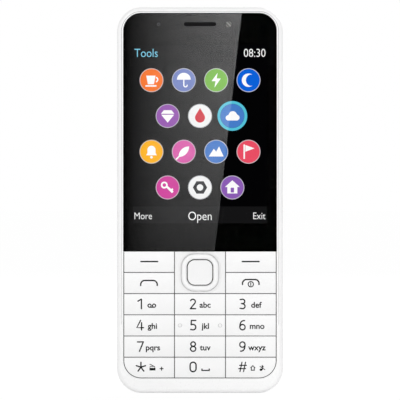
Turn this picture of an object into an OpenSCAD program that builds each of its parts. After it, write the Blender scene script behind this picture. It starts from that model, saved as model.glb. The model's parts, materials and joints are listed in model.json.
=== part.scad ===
// Candy-bar feature phone that stands on its lower end with the screen towards -Y.
// Every piece is drawn lying flat: X across the phone, Y up its length from the lower end,
// and Z into the phone from the front face. upright() then stands the piece up.

/* [Case] */
// Width of the case
body_w = 53.4; // [52:0.1:57]
// Length of the case
body_l = 124.2; // [123:0.1:130]
// Thickness of the case, front face to back
case_t = 10.6; // [10.2:0.1:13]
// Radius of the corners of the outline
corner_r = 8; // [7:0.1:9]
// Wall of the front frame
wall_t = 1.4; // [1.2:0.05:1.6]
// Rounding of the front edge of the frame
front_round = 1.3; // [0.6:0.05:1.5]
// Height of the rear cover's side, back to seam
cover_depth = 3; // [2.4:0.1:3.2]
// Rounding of the back edge of the rear cover
rear_round = 2.6; // [1.4:0.1:3]
// Sheet thickness of the rear cover
cover_t = 0.8; // [0.5:0.05:1]
// How far the rear cover's outline lies inside the frame's
cover_reveal = 0.1; // [0.05:0.05:0.3]

/* [Front face] */
// Frame left beside the window and the keys
side_lip = 2.05; // [1.8:0.05:2.6]
// Frame left above the window
top_lip = 1.95; // [1.8:0.05:2.6]
// Chin below the keypad
chin_h = 4.7; // [4.2:0.1:6]
// Corner radius of the field that holds the window and the keys
field_r = 5.7; // [4.5:0.1:6]
// Width of the fine line round the front edge
line_w = 0.18; // [0.1:0.02:0.2]
// Depth of the fine line
line_d = 0.26; // [0.08:0.01:0.3]
// Height above the lower end where the fine line stops
line_end = 22; // [15:1:40]

/* [Display] */
// Black border of the window beside the lit picture
screen_side = 3.05; // [2.6:0.05:4]
// Black border above the picture
screen_top = 10.05; // [9.6:0.05:12]
// Black border below the picture
screen_foot = 9; // [8.4:0.1:12]
// Thickness of the clear window
window_t = 0.8; // [0.6:0.05:1]
// Depth of the window's face below the frame's
window_drop = 0.05; // [0:0.01:0.15]
// Gap round the window
window_gap = 0.05; // [0.04:0.01:0.15]
// Black print behind the window
mask_t = 0.06; // [0.04:0.01:0.1]
// Sticky tape behind the window
tape_t = 0.14; // [0.1:0.01:0.2]
// Ledge that carries the window
ledge_t = 0.4; // [0.3:0.05:0.6]
// Foam gasket between ledge and panel
gasket_t = 0.1; // [0.08:0.01:0.2]
// Liquid-crystal panel
lcd_t = 0.8; // [0.7:0.05:1]
// Backlight behind the panel
light_t = 0.7; // [0.6:0.05:1]
// Panel left beside the picture
lcd_side = 1; // [0.6:0.1:1.2]
// Panel left above the picture
lcd_top = 1.8; // [1.2:0.1:2.2]
// Panel left below the picture, for its driver
lcd_foot = 4.4; // [3.5:0.1:4.8]

/* [Earpiece, front camera and front flash] */
// Distance of all three from the upper end
sensor_drop = 5.5; // [5.2:0.1:6]
// Width of the earpiece slot
ear_w = 10.4; // [8:0.1:12]
// Height of the earpiece slot
ear_h = 1.35; // [1:0.05:1.6]
// Distance of the front camera left of the middle
front_cam_x = 13.3; // [12:0.1:14]
// Hole in the print for the front camera
front_cam_d = 2.4; // [1.8:0.1:2.8]
// Distance of the front flash right of the middle
front_led_x = 9.2; // [8.8:0.1:10]
// Hole in the print for the front flash
front_led_d = 1.9; // [1.4:0.1:2.2]

/* [Keypad] */
// Share of the field's height that the keys take
keypad_share = 0.348; // [0.32:0.002:0.37]
// Gap between keys
key_gap = 0.26; // [0.16:0.02:0.3]
// Thickness of a key cap at its crest
key_t = 1; // [0.8:0.05:1.1]
// Height of the crown across a key
crown_h = 0.15; // [0.08:0.01:0.25]
// Travel of a key
key_travel = 0.3; // [0.2:0.02:0.32]
// Diameter of the plunger under a key
plunger_d = 2.4; // [1.6:0.1:2.8]
// Diameter of a key dome
dome_d = 4; // [3.4:0.1:4.2]
// Height of a key dome
dome_h = 0.25; // [0.15:0.01:0.3]
// Sheet of the rubber mat
mat_t = 0.25; // [0.2:0.01:0.3]
// Diameter of the two feeling dots on the middle key
dot_d = 1.2; // [0.6:0.05:1.4]
// Height of the feeling dots
dot_h = 0.18; // [0.06:0.01:0.24]

/* [Navigation key] */
// Room left above and below the ring in its two rows
ring_room = 0.84; // [0.65:0.01:1]
// Corner radius of the ring
ring_r = 4.3; // [3.8:0.1:4.8]
// Width of the ring's face
ring_band = 1.75; // [1.2:0.05:1.8]
// How far the ring stands out of the front face
ring_rise = 0.3; // [0.2:0.05:0.5]
// Gap outside the ring
ring_gap = 0.16; // [0.14:0.01:0.3]
// Gap between the ring and the select key
select_gap = 0.28; // [0.2:0.02:0.4]
// Depth of the hollow in the select key
dish_h = 0.18; // [0.08:0.01:0.25]
// Width of the slope round the ring
slope_w = 0.7; // [0.4:0.05:0.9]
// Depth of the slope round the ring
slope_h = 0.3; // [0.1:0.05:0.35]
/* [Board and battery] */
// Thickness of the circuit board
board_t = 0.8; // [0.6:0.05:1]
// Room left beside the battery
battery_side = 9.7; // [8.6:0.1:12]
// Thickness of the chassis deck
deck_t = 0.8; // [0.6:0.05:1]
// Ribs and walls of the chassis
rib_t = 1; // [0.8:0.05:1.2]

/* [Ports and rear camera] */
// Distance of the headset jack from the right side
jack_side = 12.2; // [11.6:0.1:13.5]
// Diameter of the headset jack's bore
jack_bore = 3.6; // [3.55:0.01:3.7]
// Length of the headset jack
jack_l = 13; // [12:0.1:13.5]
// Distance of the data port from the left side
usb_side = 13.7; // [13:0.1:15]
// Width of the data port's metal shell
usb_w = 7.5; // [7.2:0.1:8]
// Height of the data port's metal shell
usb_h = 2.6; // [2.4:0.05:2.8]
// Distance of the rear camera from the upper end
rear_cam_drop = 17; // [16.5:0.1:18]
// Diameter of the rear camera's trim ring
cam_trim_d = 9.6; // [8.8:0.1:10]
// Distance of the rear flash from the camera
rear_led_x = 8.2; // [8:0.1:8.5]
// Diameter of the rear flash lens
rear_led_d = 3.2; // [2.6:0.1:3.4]

/* [Loudspeaker and screws] */
// Distance of the loudspeaker from the lower end
speaker_y = 12.6; // [12.2:0.1:13]
// Holes across the loudspeaker grille
grille_cols = 9; // [5:1:9]
// Rows of holes in the loudspeaker grille
grille_rows = 3; // [2:1:4]
// Diameter of a grille hole
grille_d = 1; // [0.7:0.05:1.2]
// Distance between grille holes
grille_pitch = 1.7; // [1.5:0.05:1.8]
// Diameter of a case screw
screw_d = 1.4; // [1.2:0.1:1.6]
// Diameter of a case screw's head
screw_head_d = 2.5; // [2.2:0.1:2.6]

/* [Hidden] */
$fn = 64;
shallow_fn = 720;    // for arcs of large radius, of which only a few degrees are seen

// Clearances that several pieces share
fit = 0.15;          // between the frame's wall and what slides inside it
play = 0.05;         // under or over a piece that only just clears another
overlap = 0.2;       // how far fused shapes reach into each other
cut = 1;             // how far a cutting shape runs past the face it opens

// Depths of the layers, front to back
mask_z = window_drop + window_t;
tape_z = mask_z + mask_t;
ledge_z = tape_z + tape_t;
gasket_z = ledge_z + ledge_t;
lcd_z = gasket_z + gasket_t;
light_z = lcd_z + lcd_t;
board_z = light_z + light_t;
board_back = board_z + board_t;
seam_z = case_t - cover_depth;
cover_in = case_t - cover_t;
cover_round = min(rear_round, cover_depth);
deck_z = cover_in - 0.4;
deck_in = deck_z - deck_t;
tray_floor_t = 0.5;
battery_z = board_back + 2 * play + tray_floor_t + play;
battery_t = cover_in - 0.25 - battery_z;

// The field that the window and the keys share
field_w = body_w - 2 * side_lip;
field_l = body_l - top_lip - chin_h;
col_pitch = field_w / 3;
keypad_rows = 6;
row_pitch = keypad_share * field_l / keypad_rows;
keypad_top = chin_h + keypad_rows * row_pitch;
screen_y = keypad_top + screen_foot;
screen_w = field_w - 2 * screen_side;
screen_l = body_l - top_lip - screen_top - screen_y;
sensor_y = body_l - sensor_drop;

// Keys as name, column from the left and row from the bottom
KEYS = [
    ["key_star", 0, 0], ["key_0", 1, 0], ["key_hash", 2, 0],
    ["key_7", 0, 1], ["key_8", 1, 1], ["key_9", 2, 1],
    ["key_4", 0, 2], ["key_5", 1, 2], ["key_6", 2, 2],
    ["key_1", 0, 3], ["key_2", 1, 3], ["key_3", 2, 3],
    ["call_key", 0, 4], ["end_key", 2, 4],
    ["left_soft_key", 0, 5], ["right_soft_key", 2, 5]
];
dotted_key = "key_5";
crown_r = pow(row_pitch / 2, 2) / (2 * crown_h) + crown_h / 2;
film_t = 0.1;
dome_z = board_z - film_t - dome_h;
nub_z = dome_z - key_travel - play;
mat_z = key_t + key_travel + play;
dot_x = 6.45;

// The navigation key fills two rows of the middle column, between the soft keys and the call keys
nav_y = chin_h + 5 * row_pitch;
ring_w = 2 * (row_pitch - ring_room);
side_reach = ring_w / 2 - 1;
bezel_z = 0.1;
bezel_back = 0.65;
flange_z = bezel_back + 0.45;
flange_t = 0.3;
base_z = flange_z + flange_t + 0.22;
base_t = 0.3;
flange_w = ring_w + 0.9;
nub_d = 1.6;
select_w = ring_w - 2 * ring_band - 2 * select_gap;
select_front = 0.05 - ring_rise;

// Inside the case
board_in = wall_t + 0.3;
chassis_in = wall_t + fit;
deck_inset = cover_reveal + cover_round;
bay_gap = 0.25;
battery_r = 1.2;
boss_d = 3.2;
upper_screw = [body_w / 2 - 5.7, body_l - 5.2];
middle_screw = [body_w / 2 - 4.8, keypad_top + 2.2];
lower_screw = [body_w / 2 - 12.2, 3.4];
screw_at = [for (p = [upper_screw, middle_screw, lower_screw], s = [-1, 1]) [s * p[0], p[1]]];
screw_head_t = 0.6;

// Ports in the upper end
port_y = body_l - wall_t - 0.1;
jack_x = body_w / 2 - jack_side;
usb_x = body_w / 2 - usb_side;
jack_w = 6;
jack_h = 4.4;
jack_z = board_z + play + jack_h / 2;
jack_wing = 0.9;
jack_mouth = jack_bore + 0.6;
usb_l = 5.6;
usb_wall = 0.3;
usb_z = board_back + usb_h / 2;

// The loudspeaker lies below the battery and the card readers above it
speaker_w = 16;
speaker_l = 10;
speaker_t = 2.8;
reader_drop = 44.8;
reader_y = body_l - reader_drop;
reader_l = 14.6;
contact_room = 6.4;
battery_w = body_w - 2 * battery_side;
battery_y = speaker_y + speaker_l / 2 + bay_gap + rib_t + 2.15;
battery_l = reader_y - contact_room - battery_y;

// Pieces on the back of the board
reader_h = 1.6;
reader_lid = 0.25;
sim_w = 16.6;
memory_w = 14.6;
reader_gap_x = 2.6;
contact_w = 11;
contact_l = 4.2;
contact_gap = 0.1;
contact_pitch = 3.4;
rear_cam_y = body_l - rear_cam_drop;
cam_w = 7;
cam_lens_d = 5;
cam_front = deck_z - 0.2;
cam_glass_d = cam_trim_d - 2.6;
cam_glass_t = 0.5;
trim_drop = 0.15;
motor_d = 8;
motor_t = 2.7;
motor_side = 10.2;
motor_drop = 22.6;
motor_at = [body_w / 2 - motor_side, body_l - motor_drop];
shield_w = 13.5;
shield_l = 15;
shield_h = 1.7;
shield_side = 11.2;
shield_drop = 19.4;
shield_at = [shield_side - body_w / 2, body_l - shield_drop];
mic_x = 6;
mic_size = [3.6, 2.8, 1.1];
mic_hole_d = 0.9;
tab_w = 7;
tab_t = 0.55;
tab_reach = 1.5;
tab_pitch = 33;

// Stands a piece up: its length becomes height and its depth runs away from the viewer
module upright() {
    translate([0, (ring_rise - case_t) / 2, 0]) rotate([90, 0, 0]) mirror([0, 0, 1]) children();
}

// Extrudes a plan between two depths
module slab(z0, z1) {
    translate([0, 0, z0]) linear_extrude(z1 - z0) children();
}

// Extrudes a section, drawn in X and depth, between two heights along the phone
module along_length(y0, y1) {
    translate([0, y1, 0]) rotate([90, 0, 0]) linear_extrude(y1 - y0) children();
}

// Rectangle with round corners about the origin
module round_rect(w, l, r) {
    square([w - 2 * r, l], center = true);
    square([w, l - 2 * r], center = true);
    for (sx = [-1, 1], sy = [-1, 1]) translate([sx * (w / 2 - r), sy * (l / 2 - r)]) circle(r);
}

// Slot with round ends about the origin
module slot(w, h) {
    square([w - h, h], center = true);
    for (s = [-1, 1]) translate([s * (w - h) / 2, 0]) circle(h / 2);
}

// Shallow round cap that swells towards the front from depth 0
module cap(d, h) {
    r = (pow(d / 2, 2) + pow(h, 2)) / (2 * h);
    mirror([0, 0, 1]) rotate_extrude() intersection() {
        translate([0, h - r]) circle(r, $fn = shallow_fn);
        square([d / 2, h]);
    }
}

// Sweeps a section round a rounded rectangle: the section's X is outwards and its Y is depth
module rim(w, l, r) {
    for (turn = [0 : 3]) {
        upright_side = turn % 2 == 0;
        half = (upright_side ? w : l) / 2;
        run = (upright_side ? l : w) - 2 * r;
        rotate(90 * turn) {
            translate([half, run / 2, 0]) rotate([90, 0, 0]) linear_extrude(run) children();
            translate([half - r, run / 2, 0]) rotate_extrude(angle = 90) translate([r, 0]) children();
        }
    }
}

// Section of a wall whose outer edge is rounded at depth 0
module edge_section(depth, thick, r) {
    translate([-thick, r]) square([thick, depth - r]);
    translate([-thick, 0]) square([thick - r, r + overlap]);
    intersection() {
        translate([-r, r]) circle(r);
        translate([-r, 0]) square(r);
    }
}

// Outline of the case, drawn in by an inset
module outline(inset) {
    translate([0, body_l / 2]) round_rect(body_w - 2 * inset, body_l - 2 * inset, corner_r - inset);
}

// Sweep round the case's outline
module case_rim(inset) {
    translate([0, body_l / 2, 0]) rim(body_w - 2 * inset, body_l - 2 * inset, corner_r - inset) children();
}

// Opening in the frame that the window and the keys fill
module field(inset) {
    translate([0, chin_h + field_l / 2])
        round_rect(field_w - 2 * inset, field_l - 2 * inset, field_r - inset);
}

// Everything above or below a height, as a plan
module above(y) {
    translate([-body_w, y]) square([2 * body_w, body_l]);
}

module below(y) {
    translate([-body_w, y - body_l]) square([2 * body_w, body_l]);
}

// Rectangle standing on a height, centred across at x
module standing_rect(x, y, w, l) {
    translate([x - w / 2, y]) square([w, l]);
}

// Middle of a key, by column and row
function key_x(col) = (col - 1) * col_pitch;
function key_y(row) = chin_h + (row + 0.5) * row_pitch;

// Plungers of the navigation ring and its base, left, right, up and down
side_nubs = [[-side_reach, nav_y], [side_reach, nav_y]];
end_nubs = [[0, nav_y + side_reach], [0, nav_y - side_reach]];
dome_at = concat([for (k = KEYS) [key_x(k[1]), key_y(k[2])]], [[0, nav_y]], side_nubs, end_nubs);

module nubs(places, d, z0) {
    for (p = places) translate([p[0], p[1], z0]) cylinder(d = d, h = nub_z - z0);
}

// Case

module boss_holes(d, z0, z1) {
    for (p = screw_at) translate([p[0], p[1], z0]) cylinder(d = d, h = z1 - z0);
}

module front_frame() {
    round_f = min(front_round, wall_t - 0.05);
    lip_in = (round_f + wall_t) / 2;
    color("white") difference() {
        union() {
            case_rim(0) edge_section(seam_z, wall_t, round_f);
            slab(0, ledge_z + overlap) difference() {
                outline(lip_in);
                field(0);
            }
            slab(ledge_z, gasket_z) difference() {
                outline(lip_in);
                intersection() {
                    field(0);
                    below(keypad_top);
                }
                screen_opening();
                sensor_openings(0.5);
            }
            boss_holes(boss_d, gasket_z - overlap, board_z);
        }
        boss_holes(screw_d + 2 * play, gasket_z + 0.2, board_z + cut);
        intersection() {
            case_rim(round_f) translate([-line_w, -cut]) square([line_w, cut + line_d]);
            slab(-2 * cut, cut) above(line_end);
        }
        port_openings();
        translate([mic_x, -cut, board_back + mic_size[2] / 2]) rotate([-90, 0, 0])
            cylinder(d = mic_hole_d, h = wall_t + 2 * cut);
    }
}

module screen_opening() {
    margin = 0.35;
    standing_rect(0, screen_y - margin, screen_w + 2 * margin, screen_l + 2 * margin);
}

// Openings for the earpiece, the front camera and the front flash, widened by grow
module sensor_openings(grow) {
    translate([0, sensor_y]) slot(ear_w + grow, ear_h + grow);
    translate([-front_cam_x, sensor_y]) circle(d = front_cam_d + grow);
    translate([front_led_x, sensor_y]) circle(d = front_led_d + grow);
}

// Openings for the plugs in the frame's upper wall
module port_openings() {
    translate([jack_x, port_y - cut, jack_z]) rotate([-90, 0, 0])
        cylinder(d = jack_mouth, h = body_l - port_y + 2 * cut);
    along_length(port_y - cut, body_l + cut) translate([-usb_x, usb_z])
        round_rect(usb_w + 0.3, usb_h + 0.3, 0.6);
}

module grille_holes() {
    for (c = [0 : grille_cols - 1], r = [0 : grille_rows - 1])
        translate([(c - (grille_cols - 1) / 2) * grille_pitch,
                   speaker_y + (r - (grille_rows - 1) / 2) * grille_pitch, cover_in - cut])
            cylinder(d = grille_d, h = cover_t + 2 * cut);
}

// Back section of the cover, rounded at its back edge
module cover_section(inset_t, back, r) {
    translate([0, back]) mirror([0, 1]) edge_section(back - seam_z, inset_t, r);
}

module rear_cover() {
    inner_round = max(cover_round - cover_t, 0.3);
    plate_in = cover_reveal + cover_round;
    color("silver") difference() {
        union() {
            case_rim(cover_reveal) difference() {
                cover_section(cover_round + overlap, case_t, cover_round);
                translate([-cover_t, 0]) cover_section(cover_round + 2 * overlap, cover_in, inner_round);
            }
            slab(cover_in, case_t) outline(plate_in);
            cover_tabs();
        }
        translate([0, rear_cam_y, cover_in - cut]) cylinder(d = cam_trim_d + 0.3, h = cover_t + 2 * cut);
        translate([rear_led_x, rear_cam_y, cover_in - cut])
            cylinder(d = rear_led_d + 0.3, h = cover_t + 2 * cut);
        grille_holes();
    }
}

// Three tongues on each side that hold the cover in the chassis's notches
module cover_tabs() {
    root = cover_reveal + cover_t;
    tongue = chassis_in + play;
    for (side = [-1, 1], i = [-1 : 1])
        translate([side * body_w / 2, body_l / 2 + i * tab_pitch, 0]) mirror([side > 0 ? 1 : 0, 0, 0])
            along_length(-tab_w / 2, tab_w / 2) {
                translate([root - overlap, seam_z + play])
                    square([tongue + tab_t - root + overlap, deck_in - seam_z - play]);
                translate([tongue, seam_z - tab_reach]) square([tab_t, tab_reach + overlap]);
            }
}

// Front: window, panel and what lies behind them

module window_plan(inset) {
    intersection() {
        field(inset);
        above(keypad_top);
    }
}

module display_window() {
    color("lightgray", 0.4) slab(window_drop, mask_z) difference() {
        window_plan(window_gap);
        translate([0, sensor_y]) slot(ear_w, ear_h);
    }
}

module window_mask() {
    color("black") slab(mask_z, tape_z) difference() {
        window_plan(window_gap);
        standing_rect(0, screen_y, screen_w, screen_l);
        sensor_openings(0);
    }
}

module window_tape() {
    color("dimgray") slab(tape_z, ledge_z) difference() {
        window_plan(window_gap + 0.15);
        screen_opening();
        sensor_openings(0.5);
    }
}

// Outline of the panel, drawn in by an inset
module panel_plan(inset) {
    standing_rect(0, screen_y - lcd_foot + inset, screen_w + 2 * lcd_side - 2 * inset,
                  screen_l + lcd_top + lcd_foot - 2 * inset);
}

module lcd_gasket() {
    color("dimgray") slab(gasket_z, lcd_z) difference() {
        panel_plan(0.1);
        screen_opening();
    }
}

module lcd_panel() {
    color("darkslategray") slab(lcd_z, light_z) panel_plan(0);
}

module backlight() {
    catch_w = 5;
    color("silver") slab(light_z, board_z) {
        panel_plan(-0.3);
        for (s = [-1, 1])
            standing_rect(s * (screen_w / 2 + lcd_side), screen_y + (screen_l - catch_w) / 2, 1.4, catch_w);
    }
}

// Ribbon from the panel's foot down to the board
module lcd_flex() {
    ribbon_w = 14;
    ribbon_t = 0.12;
    foot = screen_y - lcd_foot - 0.3;
    leg = 1.5;
    color("orange") translate([-ribbon_w / 2, 0, 0]) rotate([90, 0, 90]) linear_extrude(ribbon_w) {
        translate([foot - leg, lcd_z + lcd_t / 2]) square([leg + 0.3, ribbon_t]);
        translate([foot - leg, lcd_z + lcd_t / 2])
            square([ribbon_t, board_z - ribbon_t / 2 - lcd_z - lcd_t / 2]);
        translate([foot - leg, board_z - ribbon_t]) square([leg * 0.8, ribbon_t]);
    }
}

module earpiece() {
    rim_t = 0.5;
    length = 5;
    color("dimgray") difference() {
        slab(gasket_z, board_z) translate([0, sensor_y]) round_rect(ear_w + 1.6, length, 1.2);
        slab(gasket_z - cut, gasket_z + rim_t) translate([0, sensor_y])
            round_rect(ear_w + 0.6, length - 1, 0.7);
    }
}

// Woven dust screen set in the earpiece slot
module earpiece_mesh() {
    sunk = 0.25;
    color("black") slab(window_drop + sunk, gasket_z) translate([0, sensor_y])
        slot(ear_w - 2 * play, ear_h - 2 * play);
}

module front_camera() {
    module_w = 4.6;
    lens_d = front_cam_d - 0.5;
    color("black") difference() {
        union() {
            slab(gasket_z, board_z) translate([-front_cam_x, sensor_y]) square(module_w, center = true);
            slab(tape_z, gasket_z + overlap) translate([-front_cam_x, sensor_y])
                circle(d = front_cam_d + 0.5 - 2 * play);
        }
        translate([-front_cam_x, sensor_y, tape_z - cut]) cylinder(d = lens_d, h = cut + 0.35);
    }
}

module front_flash() {
    color("lightyellow") {
        slab(gasket_z, board_z) translate([front_led_x, sensor_y]) square(2.4, center = true);
        slab(tape_z, gasket_z + overlap) translate([front_led_x, sensor_y])
            circle(d = front_led_d + 0.5 - 2 * play);
    }
}

// Keypad

// One cell of the keypad, or several rows of it
module cell(col, row, rows) {
    translate([key_x(col) - col_pitch / 2 + key_gap / 2, chin_h + row * row_pitch + key_gap / 2])
        square([col_pitch - key_gap, rows * row_pitch - key_gap]);
}

module key(col, row, dotted) {
    color("white") {
        intersection() {
            slab(0, key_t) intersection() {
                field(key_gap);
                cell(col, row, 1);
            }
            translate([0, key_y(row), crown_r]) rotate([0, 90, 0])
                cylinder(r = crown_r, h = body_w, center = true, $fn = shallow_fn);
        }
        nubs([[key_x(col), key_y(row)]], plunger_d, key_t - overlap);
        if (dotted) for (s = [-1, 1]) translate([s * dot_x, key_y(row), 0]) {
            cap(dot_d, dot_h);
            cylinder(d = dot_d, h = overlap);
        }
    }
}

module navigation_bezel() {
    hole = ring_w + 2 * ring_gap;
    hole_r = ring_r + ring_gap;
    leg = 1.1;
    color("white") difference() {
        union() {
            slab(bezel_z, bezel_back) cell(1, 4, 2);
            for (sx = [-1, 1], sy = [-1, 1]) slab(bezel_back - overlap, board_z - film_t)
                translate([sx * (col_pitch / 2 - leg), nav_y + sy * (row_pitch - leg)])
                    square(leg, center = true);
        }
        slab(bezel_z - cut, bezel_back + cut) translate([0, nav_y]) round_rect(hole, hole, hole_r);
        translate([0, nav_y, 0]) rim(hole, hole, hole_r)
            polygon([[-overlap, bezel_z - overlap], [slope_w * (1 + overlap / slope_h), bezel_z - overlap],
                     [0, bezel_z + slope_h], [-overlap, bezel_z + slope_h]]);
    }
}

module navigation_ring() {
    crest = ring_band / 3;
    color("white") {
        translate([0, nav_y, 0]) rim(ring_w, ring_w, ring_r) {
            translate([-ring_band, crest - ring_rise])
                square([ring_band, flange_z + overlap - crest + ring_rise]);
            translate([crest - ring_band, -ring_rise]) square([ring_band - 2 * crest, 2 * crest]);
            for (x = [crest - ring_band, -crest]) intersection() {
                translate([x, crest - ring_rise]) circle(crest);
                translate([-ring_band, -ring_rise]) square([ring_band, crest + play]);
            }
        }
        slab(flange_z, flange_z + flange_t) translate([0, nav_y]) difference() {
            round_rect(flange_w, flange_w, ring_r + 0.4);
            round_rect(ring_w - 2 * ring_band, ring_w - 2 * ring_band, ring_r - ring_band);
        }
        nubs(side_nubs, nub_d, flange_z);
    }
}

// Carrier under the ring that rocks up and down
module navigation_base() {
    plate_w = 7;
    plate_l = 2 * side_reach + nub_d + 0.4;
    color("gainsboro") {
        slab(base_z, base_z + base_t) translate([0, nav_y]) difference() {
            round_rect(plate_w, plate_l, 1.5);
            circle(d = plunger_d + 1);
        }
        nubs(end_nubs, nub_d, base_z);
    }
}

module select_key() {
    corner = max(ring_r - ring_band - select_gap, 0.8);
    color("white") {
        difference() {
            slab(select_front, key_t) translate([0, nav_y]) round_rect(select_w, select_w, corner);
            translate([0, nav_y, select_front]) mirror([0, 0, 1]) cap(1.45 * select_w, dish_h);
        }
        nubs([[0, nav_y]], plunger_d, key_t - overlap);
    }
}

// Rubber sheet under the caps, open round each plunger, on feet that stand between the domes
module key_mat() {
    foot_w = 1.6;
    color("whitesmoke") {
        slab(mat_z, mat_z + mat_t) difference() {
            intersection() {
                field(play);
                below(keypad_top - play);
            }
            for (k = KEYS) translate([key_x(k[1]), key_y(k[2])]) circle(d = plunger_d + 0.8);
            translate([0, key_gap / 2]) cell(1, 4, 2);
            standing_rect(0, nav_y, col_pitch - key_gap, 2 * row_pitch);
        }
        for (x = [-0.5, 0.5], row = [1 : 3])
            slab(mat_z, board_z - film_t) translate([x * col_pitch, chin_h + row * row_pitch])
                square(foot_w, center = true);
    }
}

module dome_film() {
    color("lightblue") slab(board_z - film_t, board_z) intersection() {
        field(1.2);
        below(keypad_top - 0.6);
    }
}

module key_domes() {
    color("goldenrod") for (p = dome_at) translate([p[0], p[1], dome_z + dome_h]) cap(dome_d, dome_h);
}

// Board and the pieces on it

module main_board() {
    notch_w = jack_w + 0.4;
    color("darkgreen") difference() {
        slab(board_z, board_back) outline(board_in);
        boss_holes(screw_d + 0.3, board_z - cut, board_back + cut);
        slab(board_z - cut, board_back + cut)
            standing_rect(jack_x, port_y - jack_l - 0.2, notch_w, jack_l + 2 * cut);
    }
}

module shield_can() {
    color("silver") difference() {
        slab(board_back, board_back + shield_h) translate(shield_at) round_rect(shield_w, shield_l, 0.8);
        slab(board_back - cut, board_back + shield_h - 0.2) translate(shield_at)
            round_rect(shield_w - 0.4, shield_l - 0.4, 0.6);
        slab(board_back + cut, board_back + shield_h + cut) translate(shield_at)
            for (x = [-1 : 1], y = [-1 : 1]) translate([x * 3, y * 3]) circle(d = 0.8);
    }
}

// Metal card cage, open along one side for the card
module card_reader(x, w) {
    sheet = 0.2;
    side = 0.6;
    mouth = 0.9;
    window_l = reader_l - 7;
    color("lightgray") difference() {
        slab(board_back, board_back + reader_h) standing_rect(x, reader_y, w, reader_l);
        slab(board_back + reader_h - sheet - mouth, board_back + reader_h - sheet)
            standing_rect(x, reader_y - cut, w - 2 * side, reader_l - side + cut);
        slab(board_back + reader_h - sheet - mouth, board_back + reader_h + cut)
            standing_rect(x, reader_y + reader_lid + 4, w - 5, window_l);
    }
}

module sim_reader() {
    card_reader(-reader_gap_x - sim_w / 2, sim_w);
}

module memory_reader() {
    card_reader(reader_gap_x + memory_w / 2, memory_w);
}

// Block with three spring fingers that press on the battery's end
module battery_contacts() {
    y0 = battery_y + battery_l + bay_gap + rib_t + contact_gap;
    finger_t = 0.3;
    finger_w = 1.4;
    reach = y0 - battery_y - battery_l - contact_gap;
    finger_z = battery_z + battery_t / 2;
    color("goldenrod") {
        slab(board_back, finger_z + 1) standing_rect(0, y0, contact_w, contact_l);
        for (i = [-1 : 1])
            slab(finger_z - 0.6, finger_z - 0.6 + finger_t)
                standing_rect(i * contact_pitch, y0 - reach, finger_w, reach + overlap);
    }
}

module vibration_motor() {
    color("silver") {
        slab(board_back, board_back + motor_t) translate(motor_at) circle(d = motor_d);
        slab(board_back, board_back + 0.5) translate(motor_at) translate([-motor_d / 2 - 1, -1.2])
            square([2, 2.4]);
    }
}

module loudspeaker() {
    color("dimgray") difference() {
        slab(deck_in - speaker_t, deck_in) translate([0, speaker_y]) round_rect(speaker_w, speaker_l, 1.5);
        slab(deck_in - 0.5, deck_in + cut) translate([0, speaker_y])
            round_rect(speaker_w - 2, speaker_l - 2, 1);
    }
}

module speaker_mesh() {
    color("black") slab(deck_z, cover_in - 2 * play) translate([0, speaker_y])
        round_rect(grille_cols * grille_pitch + 0.6, grille_rows * grille_pitch + 0.6, 0.8);
}

module microphone() {
    color("goldenrod") slab(board_back, board_back + mic_size[2])
        standing_rect(mic_x, board_in + 0.1, mic_size[0], mic_size[1]);
}

// Jack for a headset plug: a bored block in the board's notch, carried on two wings
module headset_jack() {
    end_wall = 1;
    color("black") {
        along_length(port_y - jack_l + end_wall, port_y) translate([jack_x, jack_z]) difference() {
            square([jack_w, jack_h], center = true);
            circle(d = jack_bore);
        }
        along_length(port_y - jack_l, port_y - jack_l + end_wall) translate([jack_x, jack_z])
            square([jack_w, jack_h], center = true);
        for (s = [-1, 1]) slab(board_back, board_back + 0.5)
            standing_rect(jack_x + s * (jack_w + jack_wing - overlap) / 2, port_y - jack_l + 2,
                          jack_wing + overlap, jack_l - 5);
    }
}

// Data port: a drawn metal shell round a contact tongue
module usb_port() {
    tongue = [4.8, 0.6];
    color("silver") {
        along_length(port_y - usb_l, port_y) translate([-usb_x, usb_z]) difference() {
            round_rect(usb_w, usb_h, 0.5);
            round_rect(usb_w - 2 * usb_wall, usb_h - 2 * usb_wall, 0.3);
        }
        along_length(port_y - usb_l, port_y - usb_l + 1) translate([-usb_x, usb_z])
            square([usb_w - usb_wall, usb_h - usb_wall], center = true);
        along_length(port_y - usb_l + overlap, port_y - 0.8) translate([-usb_x, usb_z])
            square(tongue, center = true);
    }
}

module rear_camera() {
    block_h = 3.6;
    color("black") difference() {
        union() {
            slab(board_back, board_back + block_h) translate([0, rear_cam_y]) square(cam_w, center = true);
            slab(board_back + block_h - overlap, cam_front)
                translate([0, rear_cam_y]) circle(d = cam_lens_d);
        }
        translate([0, rear_cam_y, cam_front - 0.6]) cylinder(d1 = 1.6, d2 = 3.6, h = 0.6 + play);
    }
}

// Ring round the camera's glass, seated on the deck and seen through the cover
module camera_trim() {
    color("silver") translate([0, rear_cam_y, 0]) difference() {
        slab(deck_z, case_t - trim_drop) circle(d = cam_trim_d);
        slab(deck_z - cut, case_t + cut) circle(d = cam_glass_d - 0.8);
        slab(case_t - trim_drop - cam_glass_t, case_t + cut) circle(d = cam_glass_d);
    }
}

module camera_glass() {
    color("black") slab(case_t - trim_drop - cam_glass_t, case_t - trim_drop - play)
        translate([0, rear_cam_y]) circle(d = cam_glass_d - 2 * play);
}

module rear_flash() {
    color("lightyellow") slab(board_back, board_back + 0.9) translate([rear_led_x, rear_cam_y])
        square(2.4, center = true);
}

// Light pipe that carries the flash to the back
module flash_lens() {
    color("lightyellow") translate([rear_led_x, rear_cam_y, 0]) {
        slab(deck_z, case_t - trim_drop) circle(d = rear_led_d);
        slab(board_back + 0.9, deck_z + overlap) circle(d = rear_led_d - 1);
    }
}

// Chassis and battery

module bay_plan(grow) {
    standing_rect(0, battery_y - grow, battery_w + 2 * grow, battery_l + 2 * grow);
}

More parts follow.
